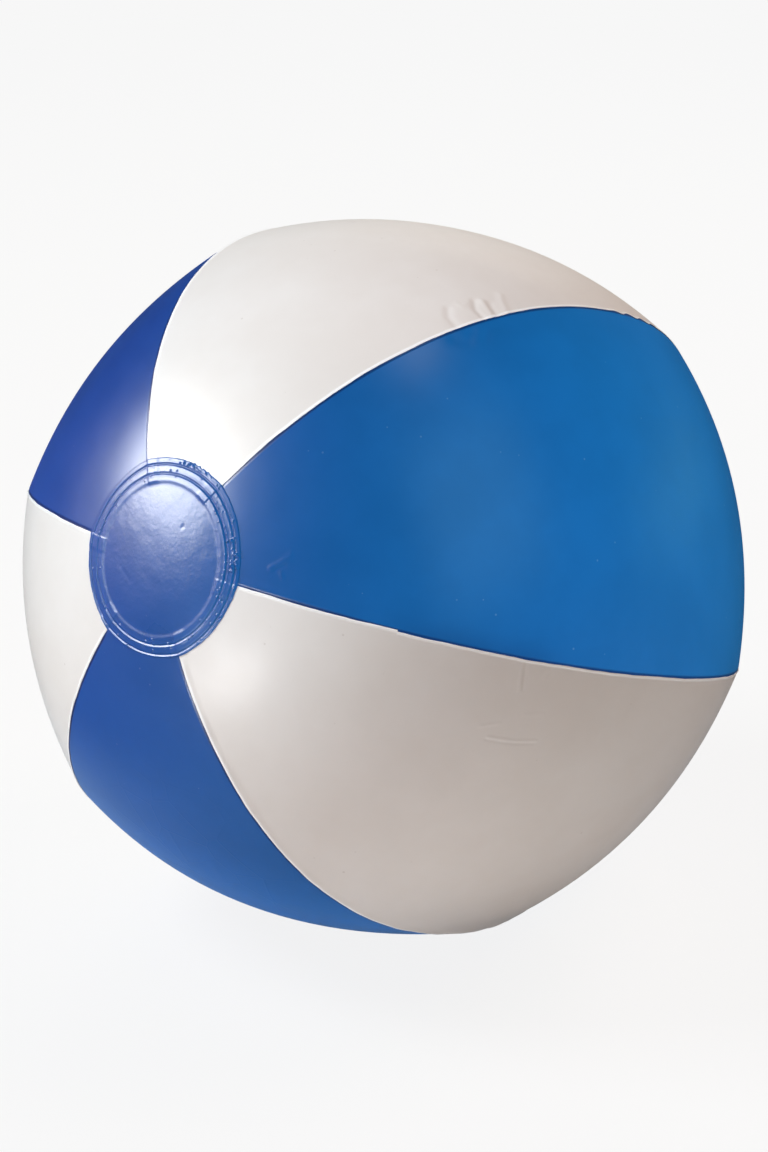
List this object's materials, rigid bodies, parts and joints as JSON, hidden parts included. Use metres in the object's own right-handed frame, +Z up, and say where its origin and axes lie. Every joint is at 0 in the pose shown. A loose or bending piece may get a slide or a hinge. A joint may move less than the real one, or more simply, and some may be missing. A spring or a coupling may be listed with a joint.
{
  "type": "beach ball",
  "caption": "Inflated vinyl beach ball of alternating blue and white film panels, with welded round end caps and a push-in air valve with a hinged stopper.",
  "frame": {"origin": "on the surface that the ball rests on, straight under the ball's centre", "axes": "+Z up, -Y the way that the front cap looks, +X to the right of someone who faces +Y"},
  "size_m": [0.26, 0.2498, 0.2528],
  "materials": {
    "blue_film": "glossy blue vinyl film",
    "white_film": "glossy white vinyl film",
    "clear_vinyl": "milky moulded soft vinyl"
  },
  "bodies": {
    "ball": {"blue_panel_1": "blue_film", "blue_panel_2": "blue_film", "blue_panel_3": "blue_film", "white_panel_1": "white_film", "white_panel_2": "white_film", "white_panel_3": "white_film", "front_cap": "blue_film", "rear_cap": "blue_film", "valve_base": "clear_vinyl", "valve_web": "clear_vinyl"},
    "stem": {"valve_stem": "clear_vinyl", "stopper_strap": "clear_vinyl"},
    "stopper": {"valve_stopper": "clear_vinyl"},
    "flap": {"check_flap": "clear_vinyl"}
  },
  "joints": [
    {"name": "stem_slide", "type": "slide", "parent": "ball", "child": "stem", "axis": [0, 0.9323, -0.3616], "range_m": [0, 0.0105], "deforming": ["valve_web"]},
    {"name": "stopper_hinge", "type": "hinge", "parent": "stem", "child": "stopper", "pos_m": [0, 0.11951, 0.08716], "axis": [1, 0, 0], "range_deg": [0, 150], "deforming": ["stopper_strap"]},
    {"name": "flap_hinge", "type": "hinge", "parent": "stem", "child": "flap", "pos_m": [0, 0.10226, 0.08044], "axis": [1, 0, 0], "range_deg": [0, 35]}
  ]
}
